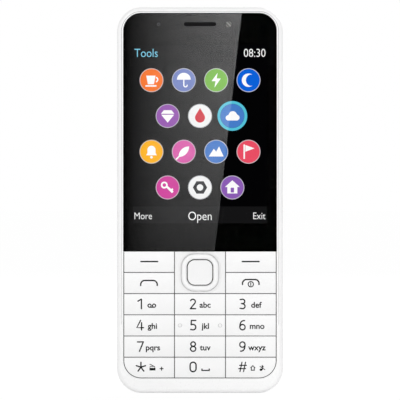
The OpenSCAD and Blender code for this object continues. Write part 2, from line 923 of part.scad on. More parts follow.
module chassis() {
    foot = board_back + 2 * play;
    color("dimgray") difference() {
        union() {
            slab(foot, deck_in) outline(chassis_in);
            slab(foot, deck_z) outline(max(deck_inset, chassis_in + 0.4));
        }
        difference() {
            slab(foot - cut, deck_in) outline(chassis_in + rib_t);
            slab(foot - cut, deck_in + cut) bay_plan(bay_gap + rib_t);
            boss_holes(boss_d, foot - cut, deck_in + cut);
        }
        slab(foot + tray_floor_t, deck_z + cut) bay_plan(bay_gap);
        slab(foot + tray_floor_t, deck_z + cut)
            standing_rect(0, battery_y + battery_l, contact_w + 0.6, rib_t + contact_l + 1.2);
        deck_openings();
        boss_holes(screw_d + 0.3, foot - cut, deck_z + cut);
        boss_holes(screw_head_d + 0.3, deck_z - screw_head_t - 0.1, deck_z + cut);
        slab(foot - cut, jack_z + jack_h / 2 + fit)
            standing_rect(jack_x, port_y - jack_l - 0.4, jack_w + 2 * jack_wing + 0.4, jack_l + 3);
        slab(foot - cut, usb_z + usb_h / 2 + fit)
            standing_rect(-usb_x, port_y - usb_l - 0.4, usb_w + 0.6, usb_l + 3);
        slab(foot - cut, board_back + mic_size[2] + fit) standing_rect(mic_x, -cut, mic_size[0] + 0.4, 6);
        for (i = [-1 : 1]) slab(seam_z - tab_reach - fit, deck_z + cut)
            for (s = [-1, 1]) translate([s * body_w / 2, body_l / 2 + i * tab_pitch])
                square([2 * (chassis_in + tab_t + 2 * play + fit), tab_w + 0.4], center = true);
    }
}

// Openings in the deck for the card readers, the camera, the flash and the loudspeaker
module deck_openings() {
    slab(deck_in - cut, deck_z + cut) {
        standing_rect(-reader_gap_x - sim_w / 2, reader_y - 0.4, sim_w + 0.8, reader_l + 0.8);
        standing_rect(reader_gap_x + memory_w / 2, reader_y - 0.4, memory_w + 0.8, reader_l + 0.8);
        translate([0, rear_cam_y]) circle(d = cam_lens_d + 0.6);
        translate([rear_led_x, rear_cam_y]) circle(d = rear_led_d - 0.4);
        translate([0, speaker_y])
            round_rect(grille_cols * grille_pitch - 1, grille_rows * grille_pitch - 1, 0.8);
    }
}

// Metal foil on the deck round the loudspeaker
module antenna() {
    foil_t = 0.12;
    foil_w = 1.6;
    leg_x = body_w / 2 - 12.5;
    toe = 5.6;
    low = speaker_y - speaker_l / 2 - 1.4;
    high = speaker_y + speaker_l / 2 - 0.4;
    color("goldenrod") slab(deck_z, deck_z + foil_t) {
        standing_rect(0, low, 2 * leg_x, foil_w);
        for (s = [-1, 1]) {
            standing_rect(s * leg_x, low, foil_w, high - low);
            standing_rect(s * (leg_x + (toe - foil_w) / 2), high - foil_w, toe, foil_w);
        }
    }
}

module case_screws() {
    drive = 0.9;
    tip_z = gasket_z + 0.4;
    color("silver") for (p = screw_at) translate([p[0], p[1], 0]) difference() {
        union() {
            translate([0, 0, tip_z]) cylinder(d = screw_d, h = deck_z - screw_head_t - tip_z);
            translate([0, 0, deck_z - screw_head_t - 0.1]) cylinder(d = screw_head_d, h = screw_head_t);
        }
        translate([0, 0, deck_z - 0.45]) cylinder(d = drive, h = cut, $fn = 6);
    }
}

module battery() {
    color("lightgray") slab(battery_z, battery_z + battery_t) translate([0, battery_y + battery_l / 2])
        round_rect(battery_w, battery_l - 2 * play, battery_r);
}

// Flat terminals on the battery's upper end
module battery_terminals() {
    pad = [2, 0.06, 2.6];
    color("gold") for (i = [-1 : 1])
        translate([i * contact_pitch - pad[0] / 2, battery_y + battery_l - play,
                   battery_z + (battery_t - pad[2]) / 2]) cube(pad);
}

upright() front_frame();
upright() display_window();
upright() window_mask();
upright() window_tape();
upright() lcd_gasket();
upright() lcd_panel();
upright() backlight();
upright() lcd_flex();
upright() earpiece();
upright() earpiece_mesh();
upright() front_camera();
upright() front_flash();
upright() navigation_bezel();
upright() navigation_ring();
upright() navigation_base();
upright() select_key();
upright() key_mat();
upright() dome_film();
upright() key_domes();
upright() main_board();
upright() shield_can();
upright() sim_reader();
upright() memory_reader();
upright() battery_contacts();
upright() vibration_motor();
upright() loudspeaker();
upright() speaker_mesh();
upright() microphone();
upright() headset_jack();
upright() usb_port();
upright() rear_camera();
upright() camera_trim();
upright() camera_glass();
upright() rear_flash();
upright() flash_lens();
upright() chassis();
upright() antenna();
upright() case_screws();
upright() battery();
upright() battery_terminals();
upright() rear_cover();
for (k = KEYS) upright() key(k[1], k[2], k[0] == dotted_key);
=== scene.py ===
# Feature phone: finishes, key legends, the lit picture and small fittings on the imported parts
import json
import math

import bmesh
import bpy
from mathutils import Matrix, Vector
from mathutils.geometry import tessellate_polygon


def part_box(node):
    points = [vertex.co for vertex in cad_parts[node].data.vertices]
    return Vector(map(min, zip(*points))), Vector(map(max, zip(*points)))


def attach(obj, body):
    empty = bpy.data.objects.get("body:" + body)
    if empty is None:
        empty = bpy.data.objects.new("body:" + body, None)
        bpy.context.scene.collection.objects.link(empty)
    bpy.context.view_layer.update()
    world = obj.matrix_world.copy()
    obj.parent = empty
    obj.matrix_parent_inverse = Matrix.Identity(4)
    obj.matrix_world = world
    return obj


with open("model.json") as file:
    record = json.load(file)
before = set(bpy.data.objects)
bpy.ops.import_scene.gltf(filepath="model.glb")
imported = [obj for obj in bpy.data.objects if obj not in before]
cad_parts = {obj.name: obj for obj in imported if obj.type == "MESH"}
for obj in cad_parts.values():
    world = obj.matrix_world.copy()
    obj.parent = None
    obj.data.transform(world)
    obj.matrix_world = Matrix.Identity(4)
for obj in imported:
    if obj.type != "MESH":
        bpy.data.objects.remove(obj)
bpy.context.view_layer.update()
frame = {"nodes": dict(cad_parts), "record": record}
scene = bpy.context.scene
MM = 0.001

# View in metres: straight on to the front, as wide as the photograph
CAMERA_DISTANCE = 1.2
VIEW_WIDTH = 0.1287
FOOT_MARGIN = 0.00225
SENSOR_WIDTH = 36

# Light: even light from all round, and soft boxes, in metres and watts, that give the edges their shade
AMBIENT = 0.61
BOX_SIZE = 0.9
FRONT_BOX_PLACE = (-0.1, -1.5, 0.25)
FRONT_BOX_POWER = 9.1
BACK_BOX_PLACE = (0.6, 1.1, 0.9)
BACK_BOX_POWER = 8.5

# Floor in metres: its own pale colour, and how much of it shows as plain white, and how bright
FLOOR_SIZE = 40.0
FLOOR_PALE = (0.95, 0.95, 0.95, 1)
FLOOR_GLOW = 0.9
FLOOR_LEVEL = 1.04

# Printing on the keys, in millimetres
INK_LIFT = 0.008
INK_THICKNESS = 0.03
INK_STRIP = 0.3
DIGIT_HEIGHT = 3.45
LETTER_HEIGHT = 1.88
LETTER_RISE = 0.5
LINE_WIDTH = 0.45
FIGURE_STROKE = 0.42
SMALL_STROKE = 0.36

# Letters on the keys and words in the picture: growth of the strokes and stretch across, as shares
LETTER_BOLD = 0.024
LETTER_STRETCH = 1.03
WORD_BOLD = -0.006
WORD_STRETCH = 0.86

# Lit picture, in millimetres
SCREEN_WIDTH = 43.2
SCREEN_HEIGHT = 57.6
SCREEN_FOOT = 54.61
LAYER = 0.03
TILE_RADIUS = 3.85
TILE_PITCH = 10.42
TILE_ROW_PITCH = 11.52
TILE_TOP_ROW = SCREEN_FOOT + 46.09
RIM_INSET = 0.12
RIM_WIDTH = 0.2
CHOSEN_REACH = 0.5
CHOSEN_WIDTH = 0.9
BAND_HEIGHT = 5.4
TITLE_FOOT = SCREEN_FOOT + 53.59
TITLE_HEIGHT = 2.6
SIDE_WORD_FOOT = SCREEN_FOOT + 1.34
SIDE_WORD_HEIGHT = 2.1
MIDDLE_WORD_FOOT = SCREEN_FOOT + 0.99
MIDDLE_WORD_HEIGHT = 2.75
WORD_MARGIN = 0.5
PIXEL_PITCH = 0.18

# Order of the picture's sheets, from the display to the front
GROUND_LAYER, BAND_LAYER, TILE_LAYER, RIM_LAYER, MOTIF_LAYER = range(1, 6)

# The sheets behind the window mirror for it, because its own faint mirror would come out as grain
WINDOW_INDEX = 1.0
GLASS_LEVEL = 0.5

frame_lo, frame_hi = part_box("front_frame")
window_lo, window_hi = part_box("display_window")
panel_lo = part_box("lcd_panel")[0]
view_height = VIEW_WIDTH / 2 - FOOT_MARGIN


def srgb(red, green, blue):
    """Linear colour of a colour as it looks on a screen, each part from 0 to 255."""
    parts = [c / 255 for c in (red, green, blue)]
    return [c / 12.92 if c < 0.04 else ((c + 0.055) / 1.055) ** 2.4 for c in parts] + [1.0]


# Nodes of the materials

def blank(name):
    """A new material with its node tree and its shader."""
    material = bpy.data.materials.new(name)
    material.use_nodes = True
    return material, material.node_tree, material.node_tree.nodes["Principled BSDF"]


def node(tree, kind, inputs=None, **settings):
    """A shader node whose inputs are values or other nodes' outputs."""
    made = tree.nodes.new("ShaderNode" + kind)
    for key, value in settings.items():
        setattr(made, key, value)
    for key, value in (inputs or {}).items():
        feed(tree, made.inputs[key], value)
    return made


def feed(tree, socket, value):
    """Sets a socket to a value, or links another node's output to it."""
    if isinstance(value, bpy.types.NodeSocket):
        tree.links.new(value, socket)
    else:
        socket.default_value = value


def combine(tree, first, second, operation="MULTIPLY"):
    """Product of two values, or what another operation makes of them."""
    return node(tree, "Math", {0: first, 1: second}, operation=operation).outputs[0]


def position(tree):
    """Place of a point in the frame of the phone, in metres."""
    return node(tree, "TexCoord").outputs["Object"]


def grain(tree, size, stretch=(1, 1, 1), detail=2.0):
    """Noise from 0 to 1 with features of about size millimetres, drawn out along the axes by stretch."""
    scale = [1 / (size * MM * factor) for factor in stretch]
    mapped = node(tree, "Mapping", {"Vector": position(tree), "Scale": scale}).outputs["Vector"]
    return node(tree, "TexNoise", {"Vector": mapped, "Scale": 1.0, "Detail": detail}).outputs[0]


def wave(tree, distance, pitch):
    """Sine from -1 to 1 over a distance, with a pitch in millimetres."""
    phase = combine(tree, distance, 2 * math.pi / (pitch * MM))
    return node(tree, "Math", {0: phase}, operation="SINE").outputs[0]


def bands(tree, pitch, direction):
    """Even bands from 0 to 1, a pitch of millimetres apart along a direction."""
    pair = {0: position(tree), 1: direction}
    along = node(tree, "VectorMath", pair, operation="DOT_PRODUCT").outputs["Value"]
    halved = {0: wave(tree, along, pitch), 1: 0.5, 2: 0.5}
    return node(tree, "Math", halved, operation="MULTIPLY_ADD").outputs[0]


def span(tree, pattern, low, high):
    """A value from low to high over the middle of a pattern's range."""
    ends = {"Value": pattern, "From Min": 0.3, "From Max": 0.7, "To Min": low, "To Max": high}
    return node(tree, "MapRange", ends).outputs["Result"]


def ramp(tree, pattern, dark, light, start=0.3, stop=0.7):
    """Colours from dark to light over a pattern."""
    made = node(tree, "ValToRGB", {"Fac": pattern})
    first, last = made.color_ramp.elements
    first.position, first.color = start, dark
    last.position, last.color = stop, light
    return made.outputs["Color"]


def relief(tree, shader, pattern, depth):
    """A surface relief of the given depth in millimetres."""
    made = node(tree, "Bump", {"Height": pattern, "Distance": depth * MM})
    feed(tree, shader.inputs["Normal"], made.outputs["Normal"])


def shaded(colour, share):
    return [part * share for part in colour[:3]] + [1.0]


def finish(name, colour, rough, size, depth, stretch=(1, 1, 1), mottle=0.05, patch=12, sockets=None):
    """A moulded, blasted or brushed surface with a fine relief and a slight change of tone and gloss."""
    material, tree, shader = blank(name)
    fine = grain(tree, size, stretch)
    patches = grain(tree, patch, detail=3.0)
    feed(tree, shader.inputs["Base Color"], ramp(tree, patches, shaded(colour, 1 - mottle), colour))
    feed(tree, shader.inputs["Roughness"], span(tree, fine, *rough))
    relief(tree, shader, fine, depth)
    for socket, value in (sockets or {}).items():
        shader.inputs[socket].default_value = value
    return material


# Finishes that need more than a grain

def clear_sheet(name, colour, index):
    """Clear polished sheet with faint streaks in its tint."""
    material, tree, shader = blank(name)
    streaks = grain(tree, 1.5, stretch=(6, 1, 1))
    feed(tree, shader.inputs["Base Color"], ramp(tree, streaks, shaded(colour, 0.98), colour))
    shader.inputs["Roughness"].default_value = 0
    shader.inputs["Transmission Weight"].default_value = 1
    shader.inputs["IOR"].default_value = index
    return material


def woven(name, colour, pitch):
    """Fine woven dust screen."""
    material, tree, shader = blank(name)
    across = bands(tree, pitch, (1, 0, 0))
    along = bands(tree, pitch, (0, 0, 1))
    threads = combine(tree, across, along, "MAXIMUM")
    feed(tree, shader.inputs["Base Color"], ramp(tree, threads, shaded(colour, 0.2), colour))
    relief(tree, shader, threads, 0.05)
    shader.inputs["Roughness"].default_value = 0.6
    shader.inputs["Specular IOR Level"].default_value = 0.1
    return material


def solder_mask(name, colour, pitch):
    """Dark board with tracks, a pitch of millimetres apart, that show faintly under the mask."""
    material, tree, shader = blank(name)
    cells = {"Vector": position(tree), "Scale": 1 / (pitch * MM)}
    tracks = node(tree, "TexVoronoi", cells, distance="MANHATTAN", feature="DISTANCE_TO_EDGE").outputs[0]
    feed(tree, shader.inputs["Base Color"], ramp(tree, tracks, shaded(colour, 2.2), colour, 0.06, 0.1))
    relief(tree, shader, tracks, 0.02)
    shader.inputs["Roughness"].default_value = 0.35
    return material


def phosphor(name, colour, pitch=0.55):
    """Lamp or lens with slanted facets, a pitch of millimetres apart."""
    material, tree, shader = blank(name)
    facets = bands(tree, pitch, (0.7, 0, 0.7))
    feed(tree, shader.inputs["Base Color"], ramp(tree, facets, shaded(colour, 0.45), colour))
    relief(tree, shader, facets, 0.08)
    shader.inputs["Roughness"].default_value = 0.25
    return material


def pixels(tree):
    """Grid of the display's pixels."""
    across = bands(tree, PIXEL_PITCH, (1, 0, 0))
    along = bands(tree, PIXEL_PITCH, (0, 0, 1))
    return combine(tree, across, along)


def mirror(shader):
    """Gives a sheet behind the window the polish of the window's face."""
    shader.inputs["Roughness"].default_value = 0
    shader.inputs["Specular IOR Level"].default_value = GLASS_LEVEL


def behind_glass(name, colour):
    """Dark print or lens under clear sheet, with a trace of unevenness in its tone."""
    material, tree, shader = blank(name)
    feed(tree, shader.inputs["Base Color"], ramp(tree, grain(tree, 0.4), shaded(colour, 0.5), colour))
    mirror(shader)
    return material


def glint_lens_face(name, part, colour, pitch):
    """Black lens with pale rings of painted highlight, a pitch of millimetres apart, about the middle of a
    packed camera.
    """
    material, tree, shader = blank(name)
    low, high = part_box(part)
    pair = {0: position(tree), 1: (low + high) / 2}
    offset = node(tree, "VectorMath", pair, operation="SUBTRACT").outputs["Vector"]
    across = node(tree, "VectorMath", {0: offset, 1: (1, 0, 1)}, operation="MULTIPLY").outputs["Vector"]
    reach = node(tree, "VectorMath", {0: across}, operation="LENGTH").outputs["Value"]
    rings = ramp(tree, wave(tree, reach, pitch), srgb(8, 8, 9), colour, 0.8, 1)
    feed(tree, shader.inputs["Base Color"], rings)
    mirror(shader)
    return material


def display_glass(name, colour):
    """Dark display glass with its grid of pixels."""
    material, tree, shader = blank(name)
    feed(tree, shader.inputs["Base Color"], ramp(tree, pixels(tree), shaded(colour, 0.3), colour))
    mirror(shader)
    return material


def lit(name, colour):
    """A lit part of the picture."""
    material, tree, shader = blank(name)
    faint = ramp(tree, pixels(tree), shaded(colour, 0.01), shaded(colour, 0.03))
    feed(tree, shader.inputs["Base Color"], faint)
    mirror(shader)
    shader.inputs["Emission Color"].default_value = colour
    shader.inputs["Emission Strength"].default_value = 1
    return material


def make_finishes():
    """The finish of every material slot of the record."""
    metal = {"Metallic": 1.0}
    return {
        "white_frame": finish("white_frame", srgb(250, 250, 250), (0.26, 0.34), 0.5, 0.0015, mottle=0.01),
        "white_keys": finish("white_keys", srgb(248, 248, 248), (0.3, 0.4), 0.4, 0.001, mottle=0.008),
        "clear_window": clear_sheet("clear_window", [1, 1, 1, 1], WINDOW_INDEX),
        "black_print": behind_glass("black_print", srgb(5, 5, 5)),
        "tape": finish("tape", srgb(28, 28, 28), (0.8, 0.95), 0.15, 0.01),
        "panel": display_glass("panel", srgb(14, 15, 18)),
        "light_guide": finish("light_guide", srgb(225, 225, 222), (0.4, 0.5), 0.3, 0.002),
        "flex": finish("flex", srgb(196, 126, 44), (0.3, 0.4), 0.2, 0.001, mottle=0.15),
        "black_plastic": finish("black_plastic", srgb(28, 28, 30), (0.45, 0.6), 0.12, 0.004),
        "mesh": woven("mesh", srgb(15, 15, 16), 0.3),
        "led": phosphor("led", srgb(238, 232, 205)),
        "mat_rubber": finish("mat_rubber", srgb(84, 84, 85), (0.6, 0.75), 0.2, 0.004),
        "board": solder_mask("board", srgb(13, 24, 20), 2),
        "tin_plate": finish("tin_plate", srgb(205, 206, 208), (0.25, 0.42), 0.08, 0.001, (30, 1, 1),
                            sockets=metal),
        "gold_plate": finish("gold_plate", srgb(226, 184, 104), (0.2, 0.34), 0.1, 0.001, sockets=metal),
        "camera_ring": finish("camera_ring", srgb(208, 209, 212), (0.16, 0.26), 0.05, 0.0008,
                              sockets=metal),
        "camera_window": clear_sheet("camera_window", srgb(190, 192, 200), WINDOW_INDEX),
        "chassis_plastic": finish("chassis_plastic", srgb(46, 47, 50), (0.5, 0.65), 0.14, 0.006),
        "cell": finish("cell", srgb(58, 60, 64), (0.35, 0.5), 0.25, 0.002, mottle=0.12),
        "back_metal": finish("back_metal", srgb(180, 180, 182), (0.46, 0.6), 0.09, 0.004,
                             mottle=0.14, patch=0.4, sockets=metal),
    }


finishes = make_finishes()
matt = {"Specular IOR Level": 0.1}
ink_and_edge_shade = finish("ink_and_edge_shade", srgb(6, 6, 7), (0.5, 0.65), 0.05, 0.001, mottle=0.2, sockets=matt)
own_finishes = {
    "dome_film": finish("grey_film", srgb(70, 70, 72), (0.4, 0.55), 0.2, 0.001),
    "navigation_base": finishes["black_plastic"],
    # The bezel and the select key take the keys' white a little darker: painted shade of the dish round the
    # ring and of the select key's dished face
    "navigation_bezel": finish("bezel_white_shaded", srgb(243, 243, 243), (0.3, 0.4), 0.4, 0.001, mottle=0.008),
    "select_key": finish("select_white_shaded", srgb(244, 244, 244), (0.3, 0.4), 0.4, 0.001, mottle=0.008),
    "front_flash": phosphor("dim_led", srgb(118, 118, 115), 0.95),
    # The lenses' pale rings are painted highlights, violet on the rear lens
    "front_camera": glint_lens_face("front_lens_glints", "front_camera", srgb(66, 66, 68), 1.6),
    "rear_camera": glint_lens_face("rear_lens_glints", "rear_camera", srgb(150, 142, 178), 1.4),
}


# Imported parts

# Rounding of the keys' edges, seams that are joined and the gap behind the window, in millimetres
EDGE_ROUND = 0.09
SELECT_ROUND = 0.04
EDGE_ANGLE = math.radians(40)
SEAM = 0.002
MASK_GAP = 0.02


def dress(part):
    """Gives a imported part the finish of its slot."""
    piece = frame["nodes"][part["node"]]
    piece.data.materials.clear()
    piece.data.materials.append(own_finishes.get(part["node"], finishes[part["material_slot"]]))


def soften(piece, radius):
    """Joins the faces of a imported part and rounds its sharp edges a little."""
    normals = piece.data.attributes.get("custom_normal")
    if normals:
        piece.data.attributes.remove(normals)
    piece.data.shade_smooth()
    seams = piece.modifiers.new("seams", "WELD")
    seams.merge_threshold = SEAM * MM
    edges = piece.modifiers.new("edges", "BEVEL")
    edges.width = radius * MM
    edges.segments = 2
    edges.limit_method = "ANGLE"
    edges.angle_limit = EDGE_ANGLE
    edges.harden_normals = True


def set_back(piece, distance):
    """Keeps a print clear of the sheet that it lies against."""
    shift = piece.modifiers.new("set_back", "DISPLACE")
    shift.direction = "Y"
    shift.mid_level = 0
    shift.strength = distance * MM


BEHIND_KEYS = ("key_mat", "key_domes")
KEYS = [name for name in frame["nodes"] if name.startswith("key_") and name not in BEHIND_KEYS]
KEYS += [name for name in frame["nodes"] if name.endswith("_key")]
for part in frame["record"]["subparts"]:
    dress(part)
for name in KEYS + ["navigation_ring"]:
    soften(frame["nodes"][name], SELECT_ROUND if name == "select_key" else EDGE_ROUND)
set_back(frame["nodes"]["window_mask"], MASK_GAP)


# Outlines in the plane of the front, in millimetres

# Distance at which points of an outline are joined
JOIN = 0.0005


def arc(x, z, radius, start, stop, steps=20):
    """Points on an arc about (x, z) from one angle to another, in degrees."""
    turns = [math.radians(start + (stop - start) * i / steps) for i in range(steps + 1)]
    return [(x + radius * math.cos(turn), z + radius * math.sin(turn)) for turn in turns]


def disc(x, z, radius, steps=40):
    return arc(x, z, radius, 0, 360, steps)[:-1]


def ring(x, z, radius, width):
    """A circle of the given width, radius at its middle."""
    return [disc(x, z, radius + width / 2), disc(x, z, radius - width / 2)]


def bar(left, foot, right, top):
    return [(left, foot), (right, foot), (right, top), (left, top)]


def ribbon(path, width):
    """Outline of a stroke of even width with round ends along an open path."""
    half = width / 2
    left, right, headings = [], [], []
    for i, (x, z) in enumerate(path):
        back, on = path[max(i - 1, 0)], path[min(i + 1, len(path) - 1)]
        heading = math.atan2(on[1] - back[1], on[0] - back[0])
        left.append((x - half * math.sin(heading), z + half * math.cos(heading)))
        right.append((x + half * math.sin(heading), z - half * math.cos(heading)))
        headings.append(math.degrees(heading))
    end = arc(*path[-1], half, headings[-1] - 90, headings[-1] + 90, 8)
    start = arc(*path[0], half, headings[0] + 90, headings[0] + 270, 8)
    return right[:-1] + end + left[-2:0:-1] + start


def fill(*islands):
    """Points and triangles of flat islands, each an outline with its holes after it."""
    points, triangles = [], []
    for loops in islands:
        first = len(points)
        corners = [[Vector((x, z, 0)) for x, z in loop] for loop in loops]
        triangles += [[first + i for i in face] for face in tessellate_polygon(corners)]
        points += [point for loop in loops for point in loop]
    return points, triangles


def moved(flat, x, z, scale=1.0):
    points, triangles = flat
    return [(x + scale * px, z + scale * pz) for px, pz in points], triangles


def lettering(words, height, measure, bold, stretch):
    """Flat letters whose measuring letter has the given height, centred across, standing on z = 0."""
    def flatten(text):
        """Points and triangles of a text in the built-in font."""
        curve = bpy.data.curves.new("words", "FONT")
        curve.body = text
        curve.offset = bold
        curve.resolution_u = 5
        holder = bpy.data.objects.new("words", curve)
        scene.collection.objects.link(holder)
        bpy.context.view_layer.update()
        ready = holder.evaluated_get(bpy.context.evaluated_depsgraph_get())
        mesh = bpy.data.meshes.new_from_object(ready)
        bpy.data.objects.remove(holder)
        points = [(v.co.x, v.co.y) for v in mesh.vertices]
        triangles = [list(face.vertices) for face in mesh.polygons]
        bpy.data.meshes.remove(mesh)
        bpy.data.curves.remove(curve)
        return points, triangles

    tall = [z for _, z in flatten(measure)[0]]
    scale = height / (max(tall) - min(tall))
    points, triangles = flatten(words)
    middle = (max(x for x, _ in points) + min(x for x, _ in points)) / 2
    foot = min(tall)
    return [((x - middle) * scale * stretch, (z - foot) * scale) for x, z in points], triangles


def flat_mesh(flats, depth):
    """Mesh of flat shapes that face the front at one depth."""
    shape = bmesh.new()
    for points, triangles in flats:
        corners = [shape.verts.new((x * MM, depth, z * MM)) for x, z in points]
        for triangle in triangles:
            shape.faces.new([corners[i] for i in triangle])
    bmesh.ops.remove_doubles(shape, verts=shape.verts, dist=JOIN * MM)
    shape.normal_update()
    bmesh.ops.reverse_faces(shape, faces=[face for face in shape.faces if face.normal.y > 0])
    return shape


def add_piece(name, shape, body, material, thickness):
    """A thin piece made of a flat or laid mesh, which rides on a body."""
    mesh = bpy.data.meshes.new(name)
    shape.to_mesh(mesh)
    shape.free()
    mesh.materials.append(material)
    piece = bpy.data.objects.new(name, mesh)
    scene.collection.objects.link(piece)
    solid = piece.modifiers.new("thickness", "SOLIDIFY")
    solid.thickness = thickness * MM
    solid.offset = -1
    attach(piece, body)


# Thin trim, in millimetres: the fine line round the front edge, the window's black edge and dark gaps, much
# of it painted shade

# Thickness of the flat trim
TRIM = 0.03

# Middle, width and depth of the grey strip of painted shade in the fine line, the line's end and the case's
# corner
SEAM_SHADE_INSET = 1.39
SEAM_SHADE_WIDTH = 0.16
SEAM_SHADE_DEPTH = 0.2
SEAM_SHADE_END = 22
CASE_CORNER = 8

# Width and thickness of the bead round the window, its depth behind the window, and the window's corner
BEAD_WIDTH = 0.045
BEAD_THICKNESS = 0.6
BEAD_DEPTH = 0.05
WINDOW_CORNER = 5.65

# Where the dark painted shade on the frame's lip starts and ends beside the window, its rise and its
# thickness
EDGING_START = 0.03
EDGING_END = 0.13
EDGING_LIFT = 0.012
EDGING_FILM = 0.01


def shade_fade(name, foot, top):
    """Matt grey of painted shade, light at the lower end of the case and darker towards the upper end."""
    material, tree, shader = blank(name)
    height = node(tree, "SeparateXYZ", {0: position(tree)}).outputs["Z"]
    share = combine(tree, height, frame_hi.z, "DIVIDE")
    feed(tree, shader.inputs["Base Color"], ramp(tree, share, foot, top, 0.2, 1))
    relief(tree, shader, grain(tree, 0.2), 0.002)
    shader.inputs["Roughness"].default_value = 0.7
    return material


def arch(half, foot, top, corner):
    """Path up one side, over round corners and down the other side."""
    rise = [(-half, foot)] + arc(corner - half, top - corner, corner, 180, 90)
    return rise + arc(half - corner, top - corner, corner, 90, 0) + [(half, foot)]


def add_seam_shade():
    """Grey strip of painted shade on the floor of the line, from one side over the upper end to the other.
    """
    half, top = frame_hi.x / MM - SEAM_SHADE_INSET, frame_hi.z / MM - SEAM_SHADE_INSET
    path = arch(half, SEAM_SHADE_END + SEAM_SHADE_WIDTH, top, CASE_CORNER - SEAM_SHADE_INSET)
    shape = flat_mesh([fill([ribbon(path, SEAM_SHADE_WIDTH)])], frame_lo.y + SEAM_SHADE_DEPTH * MM)
    grey = shade_fade("seam_shade", srgb(236, 236, 236), srgb(172, 172, 173))
    add_piece("painted_seam_shade", shape, "housing", grey, TRIM)


def round_window(start, end):
    """Flat ribbon round the window between two distances from its edge."""
    middle, width = (start + end) / 2, end - start
    foot, top = window_lo.z / MM + width / 2, window_hi.z / MM + middle
    path = arch(window_hi.x / MM + middle, foot, top, WINDOW_CORNER + middle)
    return fill([ribbon(path, width)])


def add_bead():
    """Black bead in the gap round the window, which also paints the gap's shade."""
    shape = flat_mesh([round_window(0, BEAD_WIDTH)], window_lo.y + BEAD_DEPTH * MM)
    add_piece("window_bead", shape, "housing", finishes["tape"], BEAD_THICKNESS)


def add_window_edge_shade():
    """Dark paint on the edge of the frame's lip: painted shade that widens the dark gap round the window.
    """
    shape = flat_mesh([round_window(EDGING_START, EDGING_END)], frame_lo.y - EDGING_LIFT * MM)
    add_piece("window_edge_shade", shape, "housing", ink_and_edge_shade, EDGING_FILM)


# Margin of the frame's wall round the picture
WALL_MARGIN = 0.35


def add_liner():
    """Thin black wall round the picture, from the window's tape to the display's gasket."""
    front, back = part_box("window_tape")[1].y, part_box("lcd_gasket")[0].y
    grow = WALL_MARGIN - TRIM
    half, foot, top = SCREEN_WIDTH / 2 + grow, SCREEN_FOOT - grow, SCREEN_FOOT + SCREEN_HEIGHT + grow
    shape = bmesh.new()
    loops = [[shape.verts.new((x * MM, depth, z * MM)) for x, z in bar(-half, foot, half, top)]
             for depth in (front, back)]
    for i in range(4):
        shape.faces.new([loops[0][i - 1], loops[0][i], loops[1][i], loops[1][i - 1]])
    add_piece("picture_liner", shape, "housing", finishes["tape"], TRIM / 2)


# Height of the chin, clearance of the dark strip of painted shade in the gap above it, its reach to each
# side and its depth
CHIN = 4.7
STRIP_CLEAR = 0.02
STRIP_REACH = 17
STRIP_DEPTH = 1.2


def add_keypad_gap_shade():
    """Dark strip of painted shade in the gap between the chin and the last row of keys, in front of the
    screw bosses.
    """
    foot, top = CHIN + STRIP_CLEAR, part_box("key_0")[0].z / MM - STRIP_CLEAR
    shape = flat_mesh([fill([bar(-STRIP_REACH, foot, STRIP_REACH, top)])], frame_lo.y + STRIP_DEPTH * MM)
    add_piece("keypad_gap_shade", shape, "housing", finishes["tape"], TRIM)


# Corner of the select key, and the reach from the key's side, clearance and depth of the dark ring that
# paints shade in its gap
SELECT_CORNER = 2.27
GAP_SHADE_REACH = 0.18
GAP_SHADE_CLEAR = 0.02
GAP_SHADE_DEPTH = 0.3


def rounded(half, corner):
    """Square with round corners about the origin."""
    spots = [(1, 1, 0), (-1, 1, 90), (-1, -1, 180), (1, -1, 270)]
    return [point for x, z, turn in spots
            for point in arc(x * (half - corner), z * (half - corner), corner, turn, turn + 90)]


def add_select_gap_shade():
    """Thin dark ring that moves with the select key and paints shade into its gap."""
    low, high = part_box("select_key")
    half = (high.x - low.x) / 2 / MM
    loops = [rounded(half + grow, SELECT_CORNER + grow) for grow in (GAP_SHADE_REACH, GAP_SHADE_CLEAR)]
    shape = flat_mesh([moved(fill(loops), 0, (low.z + high.z) / 2 / MM)], low.y + GAP_SHADE_DEPTH * MM)
    add_piece("select_gap_shade", shape, "select_key", finishes["tape"], TRIM)


add_seam_shade()
add_bead()
add_window_edge_shade()
add_liner()
add_keypad_gap_shade()
add_select_gap_shade()


# Key legends

def lay_on(shape, target):
    """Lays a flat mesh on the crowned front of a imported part."""
    heights = [v.co.z for v in shape.verts]
    strips = math.ceil((max(heights) - min(heights)) / (INK_STRIP * MM))
    for i in range(1, strips):
        cut = min(heights) + i * INK_STRIP * MM
        everything = shape.verts[:] + shape.edges[:] + shape.faces[:]
        bmesh.ops.bisect_plane(shape, geom=everything, dist=1e-8, plane_co=(0, 0, cut), plane_no=(0, 0, 1))
    for v in shape.verts:
        spot = target.ray_cast(Vector((v.co.x, -1, v.co.z)), Vector((0, 1, 0)))[1]
        v.co.y = spot.y - INK_LIFT * MM


def print_on(key, *flats, rise=0.0, name="legend", paint=ink_and_edge_shade, slot="black_print"):
    """Prints flat marks, placed about a point at or above the key's middle, on the key."""
    low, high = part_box(key)
    x = (low.x + high.x) / 2 / MM
    z = (low.z + high.z) / 2 / MM + rise
    shape = flat_mesh([moved(flat, x, z) for flat in flats], low.y)
    lay_on(shape, frame["nodes"][key])
    add_piece(key + "_" + name, shape, key, paint, INK_THICKNESS)


def stroke(*path, width=FIGURE_STROKE):
    """Island of one stroke."""
    return [ribbon(path, width)]


def oval(x, z, wide, tall, steps=40):
    return [(x + wide * math.cos(turn), z + tall * math.sin(turn))
            for turn in (2 * math.pi * i / steps for i in range(steps))]


